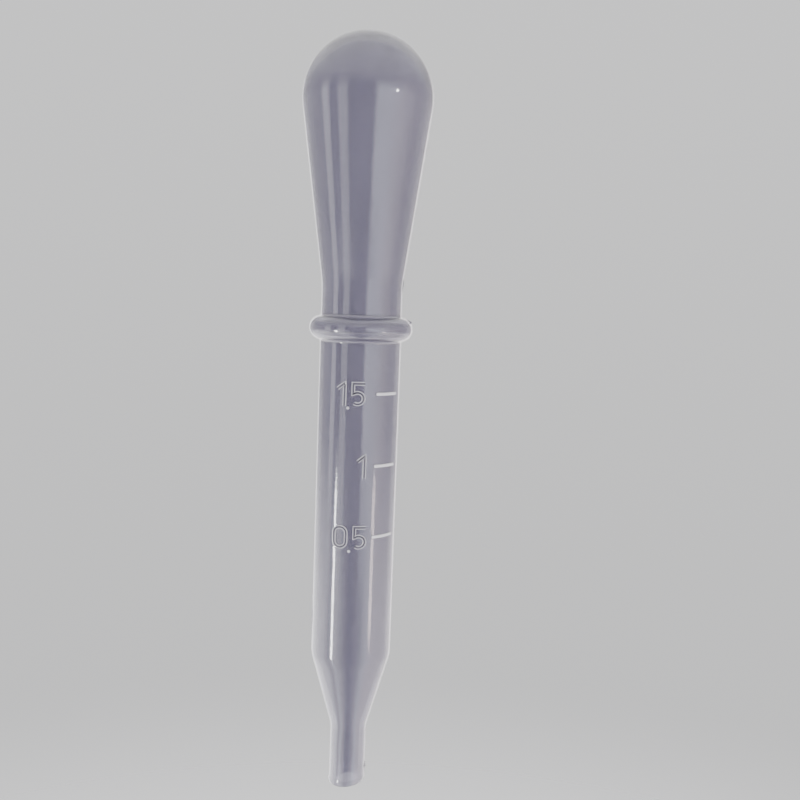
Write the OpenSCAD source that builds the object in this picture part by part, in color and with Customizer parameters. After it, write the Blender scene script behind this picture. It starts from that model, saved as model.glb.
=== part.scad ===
// Squeeze-bulb transfer pipette, blow-moulded in translucent polyethylene.
// The axis is Z, with the outlet of the tip at z = 0 and the bulb on top.
// The scale is read from the front, which faces -Y. The mould parted on the plane y = 0.

/* [Tip and shoulder] */
// Outer diameter of the delivery tip
tip_d = 4.3; // [3.6:0.1:5]
// Bore of the delivery tip
tip_bore_d = 2.9; // [2:0.1:3]
// Length of the tip, up to the corner where the shoulder starts
tip_l = 7.4; // [5:0.1:10]
// Height of the conical shoulder between tip and barrel
shoulder_h = 9; // [7:0.5:12]

/* [Barrel] */
// Outer diameter of the graduated barrel
barrel_d = 9.6; // [9.2:0.1:10.2]
// Length of the barrel, from the shoulder's corner to the stop collar
barrel_l = 38.6; // [36:0.2:44]
// Wall thickness of the barrel, neck and bulb
wall = 0.45; // [0.4:0.05:0.55]

/* [Stop collar] */
// Outer diameter of the hollow bead
collar_d = 12.2; // [11.6:0.1:13]
// Height of the bead
collar_h = 2.8; // [2.6:0.1:3.2]

/* [Bulb] */
// Outer diameter of the neck under the bulb
neck_d = 9.5; // [9:0.1:10]
// Length of the neck, from the collar to the corner where the bulb widens
neck_l = 3.9; // [3:0.1:6]
// Largest outer diameter of the bulb
bulb_d = 15.2; // [14.8:0.1:17]
// Height of the bulb above the neck
bulb_h = 28.7; // [26:0.1:34]
// Width of each squeezed wall
pad_w = 6.4; // [5:0.1:7]
// Height of each squeezed wall
pad_h = 15.2; // [12:0.1:16]

/* [Scale] */
// Height of the lowest graduation above the outlet
first_mark_z = 32.2; // [30:0.1:33]
// Volume between two graduations, in cubic millimetres
mark_volume = 500; // [400:10:520]
// How far the scale stands proud of the barrel
relief = 0.18; // [0.1:0.01:0.2]
// Height of the numerals
numeral_h = 2.8; // [2.4:0.1:3]

/* [Hidden] */
$fn = 96;

// Colours of the milky plastic, and of the raised marks in the same plastic
plastic = "lavender";
raised_plastic = "thistle";

// Radii of the outer wall and of the bore inside it
tip_r = tip_d / 2;
tip_bore_r = tip_bore_d / 2;
barrel_r = barrel_d / 2;
barrel_bore_r = barrel_r - wall;
neck_r = neck_d / 2;
bulb_r = bulb_d / 2;
collar_r = collar_d / 2;

// Rounding of the corners between the straight stretches of the profile
shoulder_round = 4;
neck_round = 14;
round_steps = 8;
dome_steps = 24;

// Half the turn of the bore at the shoulder's corners, and the length that its rounding takes up
shoulder_half_turn = atan((barrel_bore_r - tip_bore_r) / shoulder_h) / 2;
shoulder_tangent = shoulder_round * tan(shoulder_half_turn);

// Heights where one sub-part ends and the next begins
tip_top_z = tip_l - shoulder_tangent;
shoulder_corner_z = tip_l + shoulder_h;
barrel_bottom_z = shoulder_corner_z + shoulder_tangent;
collar_bottom_z = shoulder_corner_z + barrel_l;
collar_z = collar_bottom_z + collar_h / 2;
collar_top_z = collar_bottom_z + collar_h;
bulb_corner_z = collar_top_z + neck_l;
bulb_top_z = bulb_corner_z + bulb_h;
dome_z = bulb_top_z - bulb_r;

// Lean of the bulb's conical wall, which runs tangent to the dome: r / cos(a) - h * tan(a) = neck_r
bulb_lean_h = dome_z - bulb_corner_z;
bulb_lean = asin(bulb_r / norm([bulb_lean_h, neck_r])) - atan(neck_r / bulb_lean_h);
neck_tangent = neck_round * tan(bulb_lean / 2);
bulb_bottom_z = bulb_corner_z - neck_tangent;

// The squeezed walls are upright obrounds, centred below the widest turn of the bulb. Each is a
// little smaller than its window, and travels 5 mm inwards along Y.
pad_z = dome_z - pad_h / 4;
pad_gap = 0.1;

// Scale: each step holds mark_volume inside the bore. The bars lie between two angles about Z,
// and each number is placed by its right-hand end, which differs a little from one to the next.
mark_step = mark_volume / (PI * barrel_bore_r * barrel_bore_r);
mark_h = 0.42;
mark_from = -63;
mark_to = -27;
stroke = 0.42;
numeral_w = 1.8;
numeral_pitch = 2.15;
point_r = 0.2;
point_drop = 0.26;
number_right_x = [1.6, 1.32, 0.98];

// Points of an arc about centre, in the r-z plane
function arc(centre, radius, from, to, steps) = [
    for (i = [0:steps])
        let (angle = from + (to - from) * i / steps)
            centre + radius * [cos(angle), sin(angle)]
];

function unit(v) = v / norm(v);

// A corner between two straight lines, rounded by a tangent arc of the given radius
function rounded_corner(before, corner, after, radius, steps = round_steps) =
    let (
        a = unit(before - corner),
        b = unit(after - corner),
        half = acos(a * b) / 2,
        centre = corner + unit(a + b) * radius / sin(half),
        start = corner + a * radius / tan(half) - centre,
        end = corner + b * radius / tan(half) - centre,
        from = atan2(start[1], start[0]),
        sweep = atan2(end[1], end[0]) - from,
        turn = sweep > 180 ? sweep - 360 : sweep < -180 ? sweep + 360 : sweep
    )
    arc(centre, radius, from, from + turn, steps);

function reversed(points) = [for (i = [len(points) - 1:-1:0]) points[i]];

// Wall of the shoulder from its lower to its upper end, for a given tip and barrel radius
function shoulder_line(low_r, high_r) =
    let (
        low = [low_r, tip_l],
        high = [high_r, shoulder_corner_z]
    )
    concat(
        [[low_r, tip_top_z]],
        rounded_corner([low_r, 0], low, high, shoulder_round),
        rounded_corner(low, high, [high_r, bulb_top_z], shoulder_round),
        [[high_r, barrel_bottom_z]]
    );

// Wall of the bulb from the neck to the crown, set in from the outside by inset
function bulb_line(inset) =
    let (
        round_centre = [neck_r + neck_round, bulb_bottom_z]
    )
    concat(
        arc(round_centre, neck_round + inset, 180, 180 - bulb_lean, round_steps),
        arc([0, dome_z], bulb_r - inset, -bulb_lean, 90, dome_steps)
    );

// A wall between an outer and an inner line, turned about Z
module turned_wall(outer, inner) {
    rotate_extrude()
        polygon(concat(outer, reversed(inner)));
}

module tube(bottom_z, top_z, outer_r, inner_r) {
    translate([0, 0, bottom_z])
        difference() {
            cylinder(r = outer_r, h = top_z - bottom_z);
            translate([0, 0, -1])
                cylinder(r = inner_r, h = top_z - bottom_z + 2);
        }
}

// Upright obround prism from the axis out through the wall, at the front (-1) or the rear (1)
module pad_prism(side, width, height) {
    reach = bulb_r + 1;
    translate([0, side > 0 ? reach : 0, pad_z])
        rotate([90, 0, 0])
            linear_extrude(reach) {
                square([width, height - width], center = true);
                for (end = [-1, 1])
                    translate([0, end * (height - width) / 2])
                        circle(d = width);
            }
}

module whole_bulb_wall() {
    turned_wall(bulb_line(0), bulb_line(wall));
}

module bulb_shell() {
    color(plastic)
        difference() {
            whole_bulb_wall();
            for (side = [-1, 1])
                pad_prism(side, pad_w + 2 * pad_gap, pad_h + 2 * pad_gap);
        }
}

module squeezed_wall(side) {
    color(plastic)
        intersection() {
            whole_bulb_wall();
            pad_prism(side, pad_w, pad_h);
        }
}

module bulb_neck() {
    color(plastic)
        tube(collar_top_z, bulb_bottom_z, neck_r, neck_r - wall);
}

// Bead with a half-round outside, and a round groove inside that leaves an even wall. Its root has
// flat ends, which stop just short of the outer edges of barrel and neck.
module stop_collar() {
    bead_r = collar_h / 2;
    bead_centre_r = collar_r - bead_r;
    root_r = barrel_r - 0.1;
    color(plastic)
        translate([0, 0, collar_z])
            rotate_extrude()
                difference() {
                    union() {
                        translate([barrel_bore_r, -bead_r])
                            square([root_r - barrel_bore_r, collar_h]);
                        intersection() {
                            translate([bead_centre_r, 0])
                                circle(r = bead_r);
                            translate([barrel_bore_r, -bead_r])
                                square([collar_r, collar_h]);
                        }
                    }
                    translate([bead_centre_r, 0])
                        circle(r = bead_r - wall);
                }
}

module graduated_barrel() {
    color(plastic)
        tube(barrel_bottom_z, collar_bottom_z, barrel_r, barrel_bore_r);
}

module shoulder_cone() {
    color(plastic)
        turned_wall(shoulder_line(tip_r, barrel_r), shoulder_line(tip_bore_r, barrel_bore_r));
}

module delivery_tip() {
    color(plastic)
        tube(0, tip_top_z, tip_r, tip_bore_r);
}

// Three raised bars, to the right of the numerals
module graduation_lines() {
    color(raised_plastic)
        for (i = [0:2])
            translate([0, 0, first_mark_z + i * mark_step - mark_h / 2])
                rotate([0, 0, mark_from])
                    rotate_extrude(angle = mark_to - mark_from)
                        translate([barrel_r, 0])
                            square([relief, mark_h]);
}

// Flat numerals, with the left end of their mid-height line at the origin
module glyph_zero() {
    difference() {
        glyph_obround(numeral_w, numeral_h);
        glyph_obround(numeral_w - 2 * stroke, numeral_h - 2 * stroke);
    }
}

module glyph_obround(width, height) {
    translate([numeral_w / 2, 0]) {
        square([width, height - width], center = true);
        for (end = [-1, 1])
            translate([0, end * (height - width) / 2])
                circle(d = width);
    }
}

// Stem on the right, and a flag that slopes down to the left from its top
module glyph_one() {
    stem_x = numeral_w - stroke;
    flag = 0.85;
    flag_h = 1.4 * stroke;
    polygon([
        [numeral_w, -numeral_h / 2],
        [numeral_w, numeral_h / 2],
        [stem_x, numeral_h / 2],
        [stem_x - flag, numeral_h / 2 - flag + stroke / 2],
        [stem_x - flag, numeral_h / 2 - flag - stroke / 2],
        [stem_x, numeral_h / 2 - flag_h],
        [stem_x, -numeral_h / 2]
    ]);
}

// Bar along the top, short stem on the left, and a bowl that opens to the left
module glyph_five() {
    bowl_r = 0.88;
    bowl_z = bowl_r - numeral_h / 2;
    bowl_x = numeral_w - bowl_r;
    stem_x = 0.2;
    stem_bottom_z = bowl_z + 0.35;
    top_l = 1.5;
    opening = 55;
    translate([stem_x, numeral_h / 2 - stroke])
        square([top_l, stroke]);
    translate([stem_x, stem_bottom_z])
        square([stroke, numeral_h / 2 - stem_bottom_z]);
    translate([bowl_x, bowl_z])
        difference() {
            circle(r = bowl_r);
            circle(r = bowl_r - stroke);
            polygon([
                [0, 0],
                2 * bowl_r * [cos(180 - opening), sin(180 - opening)],
                2 * bowl_r * [-1, 0],
                2 * bowl_r * [cos(180 + opening), -sin(opening)]
            ]);
        }
}

// Decimal point, centred on the gap between two numerals
module glyph_point() {
    translate([(numeral_pitch + numeral_w) / 2, -numeral_h / 2 - point_drop])
        circle(r = point_r);
}

// Wraps a flat number onto the front of the barrel, at the graduation with the given index
module raised_number(index) {
    color(raised_plastic)
        translate([0, 0, first_mark_z + index * mark_step])
            intersection() {
                rotate([90, 0, 0])
                    linear_extrude(barrel_r + 1)
                        translate([number_right_x[index] - numeral_w, 0])
                            children();
                tube(-numeral_h, numeral_h, barrel_r + relief, barrel_r);
            }
}

// The digits after and before the decimal point
module tenths_of_five() {
    glyph_five();
    translate([-numeral_pitch, 0]) {
        glyph_point();
        children();
    }
}

module numeral_0_5() {
    raised_number(0) tenths_of_five() glyph_zero();
}

module numeral_1() {
    raised_number(1) glyph_one();
}

module numeral_1_5() {
    raised_number(2) tenths_of_five() glyph_one();
}

bulb_shell();
squeezed_wall(-1);  // thumb_wall
squeezed_wall(1);  // finger_wall
bulb_neck();
stop_collar();
graduated_barrel();
shoulder_cone();
delivery_tip();
graduation_lines();
numeral_0_5();
numeral_1();
numeral_1_5();
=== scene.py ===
import math

import bmesh
import bpy
from mathutils import Matrix, Vector, noise


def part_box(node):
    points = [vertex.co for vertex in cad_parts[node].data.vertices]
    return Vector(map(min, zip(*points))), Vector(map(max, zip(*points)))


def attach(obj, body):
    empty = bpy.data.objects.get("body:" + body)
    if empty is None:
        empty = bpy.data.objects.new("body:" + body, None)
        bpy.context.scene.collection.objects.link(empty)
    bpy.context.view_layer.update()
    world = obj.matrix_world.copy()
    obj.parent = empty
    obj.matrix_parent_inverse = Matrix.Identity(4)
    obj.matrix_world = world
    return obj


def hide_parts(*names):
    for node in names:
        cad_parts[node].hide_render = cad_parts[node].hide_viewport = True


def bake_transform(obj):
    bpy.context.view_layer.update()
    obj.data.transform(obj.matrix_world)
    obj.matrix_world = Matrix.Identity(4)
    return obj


# A squeeze-bulb transfer pipette, blow-moulded in one piece of milky polyethylene. Here its wall is
# turned about Z in closed stretches, which meet at its creases and, in the bulb, at the mould's parting
# line, y = 0. The front, which the scale is read from, faces -Y.

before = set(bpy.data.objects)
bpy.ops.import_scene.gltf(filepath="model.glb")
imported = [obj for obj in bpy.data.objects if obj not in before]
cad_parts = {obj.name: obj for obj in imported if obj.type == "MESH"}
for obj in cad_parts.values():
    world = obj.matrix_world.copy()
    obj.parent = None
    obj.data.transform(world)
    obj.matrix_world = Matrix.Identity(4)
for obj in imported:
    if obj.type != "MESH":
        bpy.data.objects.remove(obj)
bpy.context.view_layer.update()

MM = 0.001

# ---------------------------------------------------------------- sizes, from the frame

TIP_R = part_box("delivery_tip")[1].x
BARREL_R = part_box("graduated_barrel")[1].x
COLLAR_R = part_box("stop_collar")[1].x
NECK_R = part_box("bulb_neck")[1].x
BULB_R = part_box("bulb_shell")[1].x

SHOULDER_LOW_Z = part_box("shoulder_cone")[0].z
SHOULDER_HIGH_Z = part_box("shoulder_cone")[1].z
COLLAR_LOW_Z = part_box("stop_collar")[0].z
COLLAR_HIGH_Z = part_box("stop_collar")[1].z
NECK_HIGH_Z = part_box("bulb_neck")[1].z
CROWN_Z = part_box("bulb_shell")[1].z

COLLAR_MID_Z = (COLLAR_LOW_Z + COLLAR_HIGH_Z) / 2
BEAD_R = (COLLAR_HIGH_Z - COLLAR_LOW_Z) / 2
BEAD_CENTRE_R = COLLAR_R - BEAD_R
DOME_Z = CROWN_Z - BULB_R

# Wall thickness along the pipette
TIP_WALL = 0.7 * MM
BARREL_WALL = 0.45 * MM
BULB_WALL = 0.4 * MM
CROWN_WALL = 0.8 * MM

# Rounding of the corners of the outline
LIP_ROUND = 0.14 * MM
SHOULDER_ROUND = 4 * MM
CREASE_ROUND = 0.3 * MM
NECK_ROUND = 14 * MM

# Heights of the shoulder's two corners, so that their rounding starts close to the CAD cone's ends
SHOULDER_TURN = math.atan((BARREL_R - TIP_R) / (SHOULDER_HIGH_Z - SHOULDER_LOW_Z))
SHOULDER_TANGENT = SHOULDER_ROUND * math.tan(SHOULDER_TURN / 2)
SHOULDER_CORNERS = (SHOULDER_LOW_Z + SHOULDER_TANGENT, SHOULDER_HIGH_Z - SHOULDER_TANGENT)

# ---------------------------------------------------------------- outlines in the r-z plane


def arc(centre, radius, start, end, steps):
    """Points of an arc, with angles in degrees."""
    angles = [math.radians(start + (end - start) * i / steps) for i in range(steps + 1)]
    middle = Vector(centre)
    return [middle + Vector((radius * math.cos(a), radius * math.sin(a))) for a in angles]


def rounded(corners, steps=8):
    """Outline through (r, z, rounding) corners, where each rounding above 0 becomes a tangent arc."""
    points = [Vector(c[:2]) for c in corners]
    outline = [points[0]]
    for i in range(1, len(points) - 1):
        radius = corners[i][2]
        if radius == 0:
            outline.append(points[i])
            continue
        to_last = (points[i - 1] - points[i]).normalized()
        to_next = (points[i + 1] - points[i]).normalized()
        half = to_last.angle(to_next) / 2
        reach = radius / math.tan(half)
        centre = points[i] + (to_last + to_next).normalized() * radius / math.sin(half)
        first = points[i] + to_last * reach - centre
        last = points[i] + to_next * reach - centre
        turn = first.angle_signed(last)
        start = math.atan2(first.y, first.x)
        for k in range(steps + 1):
            a = start - turn * k / steps
            outline.append(centre + radius * Vector((math.cos(a), math.sin(a))))
    outline.append(points[-1])
    return outline


def spaced(outline, step):
    """The same outline, with no stretch longer than step."""
    dense = [outline[0]]
    for a, b in zip(outline, outline[1:]):
        parts = max(1, math.ceil((b - a).length / step))
        dense += [a.lerp(b, k / parts) for k in range(1, parts + 1)]
    return dense


def cone_lean(corner_z, neck_r, dome_r):
    """How far the cone from the neck's corner to the dome, its tangent, leans away from the axis."""
    run = DOME_Z - corner_z
    return math.asin(dome_r / math.hypot(run, neck_r)) - math.atan(neck_r / run)


# Height of the corner where the neck widens into the bulb, so that its rounding starts close to the
# CAD neck's end
NECK_CORNER_Z = NECK_HIGH_Z + NECK_ROUND * math.tan(cone_lean(NECK_HIGH_Z, NECK_R, BULB_R) / 2)


def bulb_outline(neck_r, dome_r, crown_z):
    """Neck, rounded corner, cone tangent to the dome, and dome, stretched to the crown on the axis."""
    lean = cone_lean(NECK_CORNER_Z, neck_r, dome_r)
    stretch = (crown_z - DOME_Z) / dome_r
    line = rounded([(neck_r, CREASE_HIGH_Z, 0), (neck_r, NECK_CORNER_Z, NECK_ROUND),
                    (dome_r * math.cos(lean), DOME_Z - dome_r * math.sin(lean), 0)])
    dome = arc((0, DOME_Z), dome_r, -math.degrees(lean), 90, 40)[1:]
    for p in dome:
        p.x = max(p.x, 0)
        if p.y > DOME_Z:
            p.y = DOME_Z + (p.y - DOME_Z) * stretch
    return line + dome


def barrel_outline(tip_r, barrel_r, lip_side):
    """Tip, shoulder and barrel, from the mouth up to the collar. The lip's rounded edge turns outwards
    (1) on the outer outline and inwards (-1) on the inner one."""
    return rounded([(tip_r - lip_side * LIP_ROUND, 0, 0), (tip_r, 0, LIP_ROUND),
                    (tip_r, SHOULDER_CORNERS[0], SHOULDER_ROUND),
                    (barrel_r, SHOULDER_CORNERS[1], SHOULDER_ROUND), (barrel_r, CREASE_LOW_Z, 0)])


def fillet_and_bead(wall_r, side):
    """Half the collar's outline, below (-1) or above (1): crease fillet, then bead up to its middle."""
    out = wall_r + CREASE_ROUND - BEAD_CENTRE_R
    rise = math.sqrt((BEAD_R + CREASE_ROUND) ** 2 - out ** 2)
    turn = math.degrees(math.atan2(rise, out))
    centre = (wall_r + CREASE_ROUND, COLLAR_MID_Z + side * rise)
    fillet = arc(centre, CREASE_ROUND, 180, 180 + side * turn, 6)
    bead = arc((BEAD_CENTRE_R, COLLAR_MID_Z), BEAD_R, side * turn, 0, 24)
    return fillet + bead[1:]


LOWER_HALF = fillet_and_bead(BARREL_R, -1)
UPPER_HALF = fillet_and_bead(NECK_R, 1)
CREASE_LOW_Z = LOWER_HALF[0].y
CREASE_HIGH_Z = UPPER_HALF[0].y

# ---------------------------------------------------------------- meshes

# Edges with a greater angle between their faces are shaded sharp
SHARP_ANGLE = math.radians(50)


def add_object(name, bm, body, material):
    """Puts a finished bmesh in the scene, riding on a body, or on none."""
    mesh = bpy.data.meshes.new(name)
    bmesh.ops.recalc_face_normals(bm, faces=bm.faces)
    bm.to_mesh(mesh)
    bm.free()
    mesh.shade_smooth()
    mesh.set_sharp_from_angle(angle=SHARP_ANGLE)
    mesh.materials.append(material)
    obj = bpy.data.objects.new(name, mesh)
    bpy.context.scene.collection.objects.link(obj)
    if body is not None:
        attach(obj, body)
    return obj


# The parting line's flash: a low ragged ridge, with a few burrs at (side, z, height, half length) in mm
FLASH_H = 0.05 * MM
FLASH_W = 0.12 * MM
BURRS = ((-1, 86.6, 0.2, 0.5), (-1, 20.3, 0.12, 2.4),
         (1, 61.6, 0.08, 0.6), (1, 57.5, 0.3, 0.35), (1, 1.6, 0.17, 0.5))

# Slow waves in the inner surface, from the way the plastic flowed as it was blown
WAVE_H = 0.05 * MM
WAVE_SEED = Vector((7, 3, 1))

# The delivery end: cut a little askew, with a lip that was pushed outwards, mostly on the left
CUT_TILT = 0.2 * MM
CUT_FADE = 2.5 * MM
LIP_FLARE = 0.14 * MM
LIP_FLARE_L = 0.5 * MM


def flash_height(side, z):
    """Height of the flash at the left (-1) or right (1) parting line."""
    height = FLASH_H * (0.7 + 0.6 * noise.noise(Vector((side * 5, 0, z / MM * 1.3))))
    for burr_side, burr_z, burr_h, burr_l in BURRS:
        if burr_side == side:
            rough = 0.8 + 0.5 * noise.noise(Vector((burr_z, 2, z / MM * 4)))
            height += burr_h * MM * rough * math.exp(-((z / MM - burr_z) / burr_l) ** 2)
    return height


def wall_point(r, z, angle, inside):
    """A point of the wall, with the flash and the lip's flare outside and the flow waves inside, and
    with the askew cut of the delivery end."""
    across = Vector((math.cos(angle), math.sin(angle), 0))
    if inside:
        wave = noise.noise(Vector((across.x * 1.6, across.y * 1.6, z / MM * 0.03)) + WAVE_SEED)
        r = r + WAVE_H * wave * min(1, r / MM)
    else:
        off = abs(across.y) * r / FLASH_W
        side = 1 if across.x > 0 else -1
        r = r + flash_height(side, z) * math.exp(-off * off) * min(1, r / MM)
        r = r + LIP_FLARE * (0.7 - 0.3 * across.x) * math.exp(-((z / LIP_FLARE_L) ** 2))
    rise = CUT_TILT * across.x * max(0, 1 - z / CUT_FADE)
    return across * r + Vector((0, 0, z + rise))


def turn_angles(start, end, step):
    """Angles in radians from start to end in degrees, closer together beside the parting line."""
    angles = set()
    count = round((end - start) / step)
    for i in range(count + 1):
        angles.add(round(start + (end - start) * i / count, 3))
    for seam in (0, 180, 360):
        for off in (0.5, 1, 1.5, 2, 3):
            for a in (seam - off, seam + off):
                if start < a < end:
                    angles.add(a)
    return [math.radians(a) for a in sorted(angles)]


def turned_wall(outer, inner, angles, closed):
    """Closed wall between an outer and an inner outline of equal length, turned about Z."""
    bm = bmesh.new()
    rows = []
    for angle in angles:
        ring = [bm.verts.new(wall_point(p.x, p.y, angle, False)) for p in outer]
        ring += [bm.verts.new(wall_point(p.x, p.y, angle, True)) for p in reversed(inner)]
        rows.append(ring)
    count = len(rows[0])
    pairs = list(zip(rows, rows[1:])) + ([(rows[-1], rows[0])] if closed else [])
    for a, b in pairs:
        for i in range(count):
            j = (i + 1) % count
            bm.faces.new((a[i], b[i], b[j], a[j]))
    if not closed:
        for ring in (rows[0], rows[-1]):
            for i in range(len(outer) - 1):
                bm.faces.new((ring[i], ring[i + 1], ring[count - 2 - i], ring[count - 1 - i]))
    bmesh.ops.remove_doubles(bm, verts=bm.verts, dist=1e-7)
    bmesh.ops.dissolve_degenerate(bm, dist=1e-8, edges=bm.edges)
    return bm


def even(outline, count):
    """The outline again, as count + 1 points spread evenly over its length."""
    lengths = [0]
    for a, b in zip(outline, outline[1:]):
        lengths.append(lengths[-1] + (b - a).length)
    points = []
    k = 0
    for i in range(count + 1):
        at = lengths[-1] * i / count
        while k < len(lengths) - 2 and lengths[k + 1] < at:
            k += 1
        share = (at - lengths[k]) / (lengths[k + 1] - lengths[k])
        points.append(outline[k].lerp(outline[k + 1], share))
    return points


def matched(outer, inner, count):
    """Both outlines again, each with count + 1 points spread evenly over its own length."""
    return even(outer, count), even(inner, count)

# ---------------------------------------------------------------- materials


def ramp(nodes, stops, interpolation="LINEAR"):
    """A colour ramp with (position, colour) stops."""
    node = nodes.new("ShaderNodeValToRGB")
    node.color_ramp.interpolation = interpolation
    elements = node.color_ramp.elements
    while len(elements) < len(stops):
        elements.new(0.5)
    for element, (position, colour) in zip(elements, stops):
        element.position = position
        element.color = colour
    return node


# Numbers of a colour Mix node's sockets, which share their names with its other sockets
MIX_A, MIX_B, MIX_RESULT = 6, 7, 2


def colour_mix(nodes, blend_type="MIX"):
    """A Mix node for colours, at full factor until something is linked to it."""
    node = nodes.new("ShaderNodeMix")
    node.data_type = "RGBA"
    node.blend_type = blend_type
    node.inputs["Factor"].default_value = 1
    return node


# How many features the patterns in the plastic have in a metre, and the share of that along the axis
# which the streaks keep
STREAK_DENSITY = 500
SPECK_DENSITY = 420
RIPPLE_DENSITY = 800
STREAK_STRETCH = 0.06
SPECK_COLOUR = (0.95, 0.93, 0.97, 1)


def polyethylene(name, colour, rough, clear, highlight_tone=None):
    """Milky polyethylene, partly clear and partly scattering, with flow streaks along the axis and a few
    specks. With a (colour, clear) pair, a vertex attribute of the mesh turns it towards that pair: painted
    highlights, as lighter and less clear plastic."""
    material = bpy.data.materials.new(name)
    material.use_nodes = True
    nodes, links = material.node_tree.nodes, material.node_tree.links
    shader = nodes["Principled BSDF"]
    place = nodes.new("ShaderNodeTexCoord")
    stretch = nodes.new("ShaderNodeMapping")
    stretch.inputs["Scale"].default_value = (1, 1, STREAK_STRETCH)
    streaks = nodes.new("ShaderNodeTexNoise")
    streaks.inputs["Scale"].default_value = STREAK_DENSITY
    streaks.inputs["Detail"].default_value = 3
    tint = ramp(nodes, [(0.3, [c * 0.88 for c in colour] + [1]), (0.7, [*colour, 1])])
    links.new(place.outputs["Object"], stretch.inputs["Vector"])
    links.new(stretch.outputs["Vector"], streaks.inputs["Vector"])
    links.new(streaks.outputs["Fac"], tint.inputs["Fac"])
    specks = nodes.new("ShaderNodeTexVoronoi")
    specks.inputs["Scale"].default_value = SPECK_DENSITY
    spot = ramp(nodes, [(0.02, (1, 1, 1, 1)), (0.05, (0, 0, 0, 1))])
    dusted = colour_mix(nodes)
    dusted.inputs[MIX_B].default_value = SPECK_COLOUR
    links.new(place.outputs["Object"], specks.inputs["Vector"])
    links.new(specks.outputs["Distance"], spot.inputs["Fac"])
    links.new(spot.outputs["Color"], dusted.inputs["Factor"])
    links.new(dusted.outputs[MIX_RESULT], shader.inputs["Base Color"])
    if highlight_tone is None:
        links.new(tint.outputs["Color"], dusted.inputs[MIX_A])
        shader.inputs["Transmission Weight"].default_value = clear
    else:
        highlight_colour, highlight_clear = highlight_tone
        # Painted highlights: the vertex attribute makes the colour lighter and the plastic less clear
        painted_highlight = nodes.new("ShaderNodeAttribute")
        painted_highlight.attribute_name = "painted_highlight"
        highlighted = colour_mix(nodes)
        highlighted.inputs[MIX_B].default_value = (*highlight_colour, 1)
        links.new(painted_highlight.outputs["Fac"], highlighted.inputs["Factor"])
        links.new(tint.outputs["Color"], highlighted.inputs[MIX_A])
        links.new(highlighted.outputs[MIX_RESULT], dusted.inputs[MIX_A])
        highlight_clarity = nodes.new("ShaderNodeMapRange")
        highlight_clarity.inputs["To Min"].default_value = clear
        highlight_clarity.inputs["To Max"].default_value = highlight_clear
        links.new(painted_highlight.outputs["Fac"], highlight_clarity.inputs["Value"])
        links.new(highlight_clarity.outputs["Result"], shader.inputs["Transmission Weight"])
    ripples = nodes.new("ShaderNodeTexNoise")
    ripples.inputs["Scale"].default_value = RIPPLE_DENSITY
    ripples.inputs["Detail"].default_value = 2
    bump = nodes.new("ShaderNodeBump")
    bump.inputs["Strength"].default_value = 0.5
    bump.inputs["Distance"].default_value = 0.03 * MM
    links.new(place.outputs["Object"], ripples.inputs["Vector"])
    links.new(ripples.outputs["Fac"], bump.inputs["Height"])
    links.new(bump.outputs["Normal"], shader.inputs["Normal"])
    shader.inputs["Roughness"].default_value = rough
    shader.inputs["IOR"].default_value = 1.51
    shader.inputs["Subsurface Weight"].default_value = 1
    shader.inputs["Subsurface Radius"].default_value = (1, 1, 1)
    shader.inputs["Subsurface Scale"].default_value = 0.8 * MM
    return material


LAVENDER = (0.43, 0.41, 0.50)
plastic = polyethylene("milky_polyethylene", LAVENDER, 0.1, 0.88)
# The collar and the raised scale get painted highlights from a vertex attribute of their meshes
collar_plastic = polyethylene("collar_polyethylene_painted_highlights", LAVENDER, 0.1, 0.88, ((0.86, 0.80, 0.86), 0.5))
scale_plastic = polyethylene("raised_scale", (0.50, 0.48, 0.56), 0.05, 0.85, ((0.90, 0.87, 0.92), 0.4))

# ---------------------------------------------------------------- the moulded wall

outer = spaced(barrel_outline(TIP_R, BARREL_R, 1), 0.8 * MM)
inner = barrel_outline(TIP_R - TIP_WALL, BARREL_R - BARREL_WALL, -1)
outer, inner = matched(outer, inner, 160)
barrel = add_object("barrel_and_tip", turned_wall(outer, inner, turn_angles(0, 357, 3), True),
                    "root", plastic)
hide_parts("delivery_tip", "shoulder_cone", "graduated_barrel")

# The collar carries painted highlights: lighter, less clear plastic close to its creases, where light
# glints on their fillets, and faint painted highlight lines around the bead, where its hollow refracts
# light, at (height above its middle, strength), which sway a little
CREASE_AT = Vector((NECK_R + 0.1 * MM, UPPER_HALF[3].y - COLLAR_MID_Z))
CREASE_HIGHLIGHT = 0.3
CREASE_SPREAD = 0.16 * MM
HIGHLIGHT_LINES = ((0.8 * MM, 0.1), (0.4 * MM, 0.06), (-0.42 * MM, 0.16), (-0.95 * MM, 0.08))
HIGHLIGHT_LINE_SPREAD = 0.07 * MM
HIGHLIGHT_LINE_SWAY = 0.15 * MM


def collar_highlights(point):
    """Strength of the collar's painted highlights at a point."""
    place = Vector((math.hypot(point.x, point.y), abs(point.z - COLLAR_MID_Z)))
    highlight_amount = CREASE_HIGHLIGHT * math.exp(-(((place - CREASE_AT).length / CREASE_SPREAD) ** 2))
    if place.x > BEAD_CENTRE_R:
        sway = HIGHLIGHT_LINE_SWAY * noise.noise(point / MM * 0.25)
        for height, strength in HIGHLIGHT_LINES:
            off = (point.z - COLLAR_MID_Z - height - sway) / HIGHLIGHT_LINE_SPREAD
            highlight_amount += strength * math.exp(-off * off)
    return highlight_amount


outer = LOWER_HALF + UPPER_HALF[::-1]
hollow = arc((BEAD_CENTRE_R, COLLAR_MID_Z), BEAD_R - BARREL_WALL, -105, 105, 32)
inner_low = Vector((BARREL_R - BARREL_WALL, CREASE_LOW_Z))
inner_high = Vector((NECK_R - BULB_WALL, CREASE_HIGH_Z))
outer, inner = matched(outer, [inner_low] + hollow + [inner_high], 72)
bead = turned_wall(outer, inner, turn_angles(0, 357, 3), True)
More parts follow.
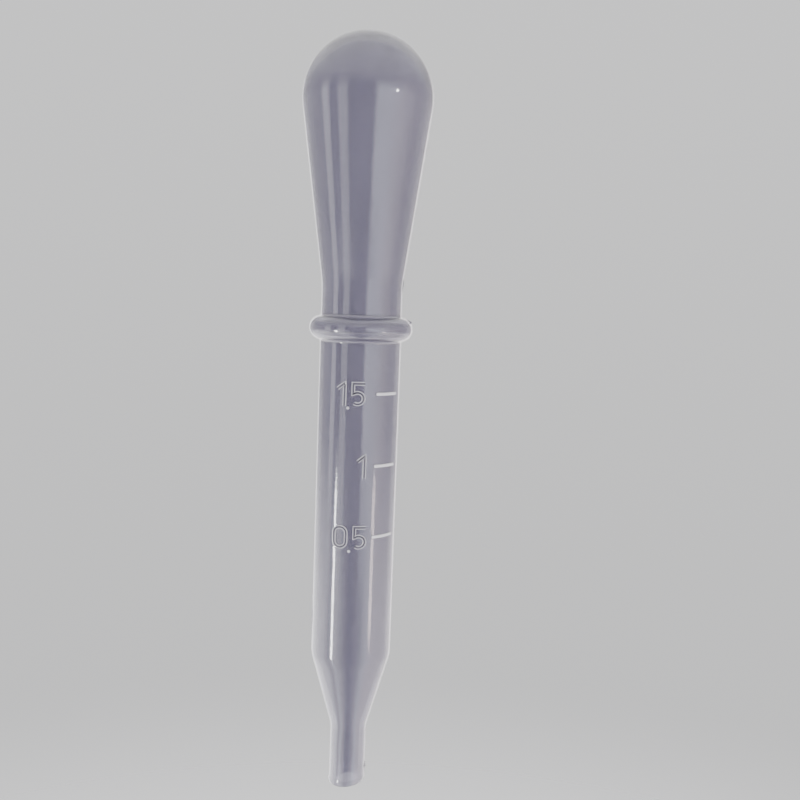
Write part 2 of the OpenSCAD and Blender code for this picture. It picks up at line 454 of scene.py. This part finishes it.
# Painted highlights along the collar's creases and in lines around its bead, kept per vertex
painted_highlight = bead.verts.layers.float.new("painted_highlight")
for v in bead.verts:
    v[painted_highlight] = collar_highlights(v.co)
collar = add_object("stop_collar_bead", bead, "root", collar_plastic)
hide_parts("stop_collar")

outer = bulb_outline(NECK_R, BULB_R, CROWN_Z)
inner = bulb_outline(NECK_R - BULB_WALL, BULB_R - BULB_WALL, CROWN_Z - CROWN_WALL)
outer, inner = matched(outer, inner, 110)
for name, side, start_angle, panel, body in (
        ("bulb_front", -1, 180, "thumb_wall", "thumb_side"),
        ("bulb_rear", 1, 0, "finger_wall", "finger_side")):
    wall = turned_wall(outer, inner, turn_angles(start_angle, start_angle + 180, 2.5), False)
    half = add_object(name, wall, None, plastic)
    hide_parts(panel, "bulb_shell", "bulb_neck")
    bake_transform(half)

# ---------------------------------------------------------------- the raised scale

NUMERAL_W = 1.8 * MM
NUMERAL_H = 2.8 * MM
STROKE = 0.42 * MM
NUMERAL_PITCH = 2.15 * MM
POINT_R = 0.2 * MM
POINT_DROP = 0.26 * MM
MARK_H = 0.42 * MM

# The bars run between these angles around the barrel, in degrees from its front. Their right end, on top
# of the relief, is the greatest x of their box
BAR_START = 27
BAR_END = 63
BAR_STEPS = 20
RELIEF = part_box("graduation_lines")[1].x / math.sin(math.radians(BAR_END)) - BARREL_R

# How far the relief's foot is sunk into the barrel's wall
SUNK = 0.04 * MM

# Half sections of the ridges, from edge to middle, as (share of the half width, share of the relief,
# painted highlight): numerals have a clear groove along their top, with painted highlights on its rims,
# and bars are plain, with a painted highlight over their top
GROOVED = [(1, 0, 0), (0.95, 0.7, 0.7), (0.84, 1, 1), (0.66, 0.95, 0.95),
           (0.46, 0.45, 0), (0.25, 0.15, 0), (0, 0.1, 0)]
PLAIN = [(1, 0, 0), (0.9, 0.6, 0.6), (0.72, 0.9, 0.9), (0.45, 1, 1), (0, 1, 1)]

# The decimal point's rings around its top, as (share of its radius, height, painted highlight)
POINT_SIDES = 20
POINT_RINGS = ((0.5, 0.92 * RELIEF, 0.7), (0.85, 0.6 * RELIEF, 0.7), (1, 0, 0), (1, -SUNK, 0))

# A ridge is wider across its turns, by the cosine of half the turn, which counts as no less than this
TURN_LIMIT = 0.6


def highlight_layer(bm):
    """The layer of painted highlights on the vertices, made when it is first asked for."""
    return bm.verts.layers.float.get("painted_highlight") or bm.verts.layers.float.new("painted_highlight")


def raised_stroke(bm, path, width, half_section, closed=False):
    """Sweeps a low ridge along a path of (x, z) on the barrel's front, back to its start if closed."""
    half = width / 2
    painted_highlight = highlight_layer(bm)
    right = [(across, height * RELIEF, highlight_amount) for across, height, highlight_amount in half_section]
    left = [(-across, height, highlight_amount) for across, height, highlight_amount in right]
    section = [(-1, -SUNK, 0)] + left + right[-2::-1] + [(1, -SUNK, 0)]
    count = len(path)
    rows = []
    for i, p in enumerate(path):
        before = path[i - 1] if closed or i > 0 else p
        after = path[(i + 1) % count] if closed or i < count - 1 else p
        a = (p - before).normalized() if (p - before).length > 0 else (after - p).normalized()
        b = (after - p).normalized() if (after - p).length > 0 else a
        middle = (a + b).normalized()
        side = Vector((-middle.y, middle.x)) / max(middle.dot(a), TURN_LIMIT)
        row = []
        # Each point of the section carries its painted highlight
        for across, height, highlight_amount in section:
            q = p + side * half * across
            v = bm.verts.new(on_barrel(q.x, q.y, height))
            v[painted_highlight] = highlight_amount
            row.append(v)
        rows.append(row)
    pairs = list(zip(rows, rows[1:])) + ([(rows[-1], rows[0])] if closed else [])
    for a, b in pairs:
        for k in range(len(section)):
            m = (k + 1) % len(section)
            bm.faces.new((a[k], a[m], b[m], b[k]))
    if not closed:
        bm.faces.new(rows[0])
        bm.faces.new(list(reversed(rows[-1])))


def on_barrel(x, z, height):
    """The point at a height above the barrel's front, with x as the front view shows it."""
    angle = math.asin(x / BARREL_R)
    r = BARREL_R + height
    return Vector((r * math.sin(angle), -r * math.cos(angle), z))


def raised_point(bm, x, z):
    """A low round dot, with painted highlights on its top."""
    painted_highlight = highlight_layer(bm)
    top = bm.verts.new(on_barrel(x, z, RELIEF))
    top[painted_highlight] = 1
    angles = [2 * math.pi * k / POINT_SIDES for k in range(POINT_SIDES)]
    rings = []
    for share, height, highlight_amount in POINT_RINGS:
        ring = []
        for a in angles:
            right = x + POINT_R * share * math.cos(a)
            up = z + POINT_R * share * math.sin(a)
            v = bm.verts.new(on_barrel(right, up, height))
            v[painted_highlight] = highlight_amount
            ring.append(v)
        rings.append(ring)
    for k in range(POINT_SIDES):
        m = (k + 1) % POINT_SIDES
        bm.faces.new((top, rings[0][k], rings[0][m]))
        for a, b in zip(rings, rings[1:]):
            bm.faces.new((a[k], b[k], b[m], a[m]))
    bm.faces.new(list(reversed(rings[-1])))


# Paths along the middle of each numeral's stroke, from its left edge and its mid-height


def zero_path():
    """An obround, closed."""
    r = (NUMERAL_W - STROKE) / 2
    up = (NUMERAL_H - STROKE) / 2 - r
    left = NUMERAL_W / 2
    return arc((left, up), r, 0, 180, 16) + arc((left, -up), r, 180, 360, 16)


def one_path():
    """A slanting flag, then the stem."""
    flag_w, flag_h, flag_drop = 0.8 * MM, 0.65 * MM, 0.2 * MM
    x = NUMERAL_W - STROKE / 2
    top = NUMERAL_H / 2 - flag_drop
    corners = [Vector((x - flag_w, top - flag_h)), Vector((x, top)), Vector((x, -NUMERAL_H / 2))]
    return spaced(corners, 0.2 * MM)


def five_path():
    """A bar, its left upright, then the open bowl."""
    bowl_r, bar_in, left_in, bowl_rise = 0.88 * MM, 0.1 * MM, 0.2 * MM, 0.5 * MM
    centre = (NUMERAL_W - bowl_r, bowl_r - NUMERAL_H / 2)
    left = left_in + STROKE / 2
    top = NUMERAL_H / 2 - STROKE / 2
    foot = centre[1] + bowl_rise
    corners = [Vector((NUMERAL_W - bar_in, top)), Vector((left, top)), Vector((left, foot))]
    return spaced(corners, 0.25 * MM) + arc(centre, bowl_r - STROKE / 2, 125, -125, 20)


def moved(path, x, z):
    """The path, further right by x and higher by z."""
    return [p + Vector((x, z)) for p in path]


def number(name, strokes, has_point):
    """One raised number, in the place of its CAD node, with (path, columns from the right, closed)
    strokes, and with a decimal point between the last two columns where it has one."""
    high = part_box(name)[1]
    left = high.x - NUMERAL_W
    middle = high.z - NUMERAL_H / 2
    bm = bmesh.new()
    for path, column, closed in strokes:
        raised_stroke(bm, moved(path, left - column * NUMERAL_PITCH, middle), STROKE, GROOVED, closed)
    if has_point:
        x = left - NUMERAL_PITCH + (NUMERAL_PITCH + NUMERAL_W) / 2
        raised_point(bm, x, middle - NUMERAL_H / 2 - POINT_DROP)
    obj = add_object(name + "_relief", bm, "root", scale_plastic)
    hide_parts(name)


number("numeral_0_5", [(five_path(), 0, False), (zero_path(), 1, True)], True)
number("numeral_1", [(one_path(), 0, False)], False)
number("numeral_1_5", [(five_path(), 0, False), (one_path(), 1, False)], True)

bars_low, bars_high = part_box("graduation_lines")
bars_rise = bars_high.z - bars_low.z - MARK_H
bars_angles = [math.radians(BAR_START + (BAR_END - BAR_START) * k / BAR_STEPS)
               for k in range(BAR_STEPS + 1)]
bm = bmesh.new()
for i in range(3):
    z = bars_low.z + MARK_H / 2 + bars_rise * i / 2
    raised_stroke(bm, [Vector((BARREL_R * math.sin(a), z)) for a in bars_angles], MARK_H, PLAIN)
bars = add_object("graduation_bars", bm, "root", scale_plastic)
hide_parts("graduation_lines")

# ---------------------------------------------------------------- stage, camera and light

FLOOR_Z = -300 * MM
FLOOR_R = 0.8
BACKDROP_R = 2.5
LIGHT_DISTANCE = 0.4


def staged(name, bm, material):
    """Puts a finished bmesh in the scene, as part of the stage."""
    mesh = bpy.data.meshes.new(name)
    bm.to_mesh(mesh)
    bm.free()
    mesh.shade_smooth()
    mesh.materials.append(material)
    obj = bpy.data.objects.new(name, mesh)
    bpy.context.scene.collection.objects.link(obj)
    return obj


def floor():
    """A pale matt floor, which fades out into the backdrop and isn't mirrored in the plastic."""
    material = bpy.data.materials.new("pale_floor")
    material.use_nodes = True
    nodes, links = material.node_tree.nodes, material.node_tree.links
    shader = nodes["Principled BSDF"]
    shader.inputs["Base Color"].default_value = (0.72, 0.72, 0.73, 1)
    shader.inputs["Roughness"].default_value = 0.8
    place = nodes.new("ShaderNodeTexCoord")
    length = nodes.new("ShaderNodeVectorMath")
    length.operation = "LENGTH"
    fade = ramp(nodes, [(0.3 * FLOOR_R, (1, 1, 1, 1)), (0.95 * FLOOR_R, (0, 0, 0, 1))], "EASE")
    links.new(place.outputs["Object"], length.inputs[0])
    links.new(length.outputs["Value"], fade.inputs["Fac"])
    links.new(fade.outputs["Color"], shader.inputs["Alpha"])
    bm = bmesh.new()
    bmesh.ops.create_circle(bm, cap_ends=True, segments=96, radius=FLOOR_R)
    obj = staged("floor", bm, material)
    obj.location.z = FLOOR_Z
    obj.visible_glossy = False


def backdrop():
    """A pale surround, seen by the camera and through the plastic, that lights nothing."""
    material = bpy.data.materials.new("pale_backdrop")
    material.use_nodes = True
    nodes, links = material.node_tree.nodes, material.node_tree.links
    glow = nodes.new("ShaderNodeEmission")
    place = nodes.new("ShaderNodeTexCoord")
    split = nodes.new("ShaderNodeSeparateXYZ")
    shade = ramp(nodes, [(0.3, (0.82, 0.82, 0.83, 1)), (0.75, (0.95, 0.95, 0.96, 1))], "EASE")
    links.new(place.outputs["Generated"], split.inputs["Vector"])
    links.new(split.outputs["Z"], shade.inputs["Fac"])
    links.new(shade.outputs["Color"], glow.inputs["Color"])
    links.new(glow.outputs["Emission"], nodes["Material Output"].inputs["Surface"])
    bm = bmesh.new()
    bmesh.ops.create_uvsphere(bm, u_segments=64, v_segments=32, radius=BACKDROP_R)
    obj = staged("backdrop", bm, material)
    obj.visible_diffuse = False
    obj.visible_glossy = False
    obj.visible_shadow = False


def narrow_light(name, azimuth, spread, bottom, top, glow, colour=(1, 1, 1)):
    """An upright area light, facing the axis. Azimuth and spread, in degrees, say where it stands and how
    wide it looks from the pipette, with 0 at the front and 90 on the right. Glow is its power over its
    area, divided by pi."""
    a = math.radians(azimuth)
    away = Vector((math.sin(a), -math.cos(a), 0))
    data = bpy.data.lights.new(name, "AREA")
    data.shape = "RECTANGLE"
    data.size = 2 * LIGHT_DISTANCE * math.tan(math.radians(spread / 2))
    data.size_y = top - bottom
    data.energy = glow * math.pi * data.size * data.size_y
    data.color = colour
    light = bpy.data.objects.new(name, data)
    bpy.context.scene.collection.objects.link(light)
    light.location = away * LIGHT_DISTANCE + Vector((0, 0, (bottom + top) / 2))
    light.rotation_euler = away.to_track_quat("Z", "Y").to_euler()
    light.visible_camera = False
    light.visible_transmission = False


CAMERA_PITCH = math.radians(6.13)
CAMERA_ROLL = math.radians(2.13)
CAMERA_TARGET = Vector((4.96 * MM, 0, 48 * MM))
CAMERA_DISTANCE = 108 * MM


def camera():
    """Looks along +Y, a little downwards and a little rolled, at a target just right of the axis."""
    pitch, roll = CAMERA_PITCH, CAMERA_ROLL
    forward = Vector((0, math.cos(pitch), -math.sin(pitch)))
    up = Vector((0, math.sin(pitch), math.cos(pitch)))
    right = Vector((1, 0, 0))
    cam_right = right * math.cos(roll) + up * math.sin(roll)
    cam_up = up * math.cos(roll) - right * math.sin(roll)
    place = CAMERA_TARGET - forward * CAMERA_DISTANCE
    data = bpy.data.cameras.new("camera")
    data.sensor_width = 36
    data.lens = 40.5
    data.clip_start = 0.005
    obj = bpy.data.objects.new("camera", data)
    bpy.context.scene.collection.objects.link(obj)
    turn = Matrix((cam_right, cam_up, -forward)).transposed()
    obj.matrix_world = Matrix.Translation(place) @ turn.to_4x4()
    bpy.context.scene.camera = obj


# The studio's brightness around the pipette, as (azimuth in degrees, radiance). On the level,
# where the bulb looks: the wall behind, dim sides, two upright lamps on the left, the dark front, and a
# window on the right that fades to the side
LEVEL_BANDS = (
    (-180, 3), (-160, 3), (-152, 1.2), (-86, 1), (-83, 4.2), (-70, 4.2), (-68, 0.2), (-52, 0.2),
    (-50, 3.3), (-34, 3.3), (-32, 0.15), (12, 0.15), (20, 5.5), (46, 5.3), (98, 1.2), (152, 1.2),
    (160, 3), (180, 3))

# From below, where the barrel, the cone and the tip look: the same room, softer and lit by its table
LOW_BANDS = (
    (-180, 3.2), (-160, 3.2), (-129, 4.5), (-104, 5.5), (-86, 5.5), (-66, 3), (-54, 6.5), (-38, 4.5),
    (-15, 0.8), (-9, 0.15), (4, 0.15), (26, 2), (48, 6), (62, 6), (108, 3.4), (150, 3), (180, 3.2))

# Its tint: cooler through the window, warmer beside it
TINTS = (
    (-180, (1, 0.98, 1)), (-10, (0.96, 0.97, 1)), (20, (0.88, 0.92, 1)), (45, (0.9, 0.92, 1)),
    (70, (1, 0.93, 0.96)), (180, (1, 0.96, 0.98)))

# Against the sine of the elevation: the share of the low bands, the strength of both together, and the
# radiance of the even light from above
LOW_SHARE = ((-0.34, 1), (-0.14, 0))
BAND_REACH = ((-1, 0.9), (-0.9, 0.7), (-0.55, 1), (0.14, 1), (0.4, 0.12), (0.6, 0))
LIGHT_ABOVE = ((0.22, 0), (0.6, 1.8), (1, 2.2))


def studio_air():
    """The world: soft light from all around, in upright bands, and even light from above."""
    air = bpy.data.worlds.new("studio")
    air.use_nodes = True
    nodes, links = air.node_tree.nodes, air.node_tree.links
    place = nodes.new("ShaderNodeTexCoord")
    split = nodes.new("ShaderNodeSeparateXYZ")
    links.new(place.outputs["Generated"], split.inputs["Vector"])
    front_first = nodes.new("ShaderNodeMapping")
    front_first.inputs["Rotation"].default_value = (0, 0, math.radians(90))
    around = nodes.new("ShaderNodeTexGradient")
    around.gradient_type = "RADIAL"
    links.new(place.outputs["Generated"], front_first.inputs["Vector"])
    links.new(front_first.outputs["Vector"], around.inputs["Vector"])

    def by_azimuth(stops):
        """A ramp around the pipette, with (azimuth in degrees, colour) stops."""
        node = ramp(nodes, [(azimuth / 360 + 0.5, (*colour, 1)) for azimuth, colour in stops])
        links.new(around.outputs["Fac"], node.inputs["Fac"])
        return node

    def by_height(stops):
        """A ramp from straight below to straight above, with (sine of the elevation, grey) stops."""
        rise = nodes.new("ShaderNodeMapRange")
        rise.inputs["From Min"].default_value = -1
        links.new(split.outputs["Z"], rise.inputs["Value"])
        node = ramp(nodes, [((sine + 1) / 2, (grey, grey, grey, 1)) for sine, grey in stops])
        links.new(rise.outputs["Result"], node.inputs["Fac"])
        return node

    def mixed(blend_type, a, b):
        """Mixes the colours of a, which may be a Mix node itself, and of b, which isn't one."""
        node = colour_mix(nodes, blend_type)
        source = a.outputs[MIX_RESULT] if a.bl_idname == "ShaderNodeMix" else a.outputs["Color"]
        links.new(source, node.inputs[MIX_A])
        links.new(b.outputs["Color"], node.inputs[MIX_B])
        return node

    level = by_azimuth([(azimuth, (glow,) * 3) for azimuth, glow in LEVEL_BANDS])
    low = by_azimuth([(azimuth, (glow,) * 3) for azimuth, glow in LOW_BANDS])
    bands = mixed("MIX", level, low)
    links.new(by_height(LOW_SHARE).outputs["Color"], bands.inputs["Factor"])
    bands = mixed("MULTIPLY", bands, by_azimuth(TINTS))
    bands = mixed("MULTIPLY", bands, by_height(BAND_REACH))
    everything = mixed("ADD", bands, by_height(LIGHT_ABOVE))
    links.new(everything.outputs[MIX_RESULT], nodes["Background"].inputs["Color"])
    bpy.context.scene.world = air


floor()
backdrop()
studio_air()
camera()
narrow_light("spark", 52, 2.5, 0.132, 0.149, 160.0)
narrow_light("streak_left", -55.5, 6, -0.16, -0.043, 60.0)
narrow_light("streak_right", 56, 9, -0.135, -0.04, 13.0, (1, 0.82, 0.76))
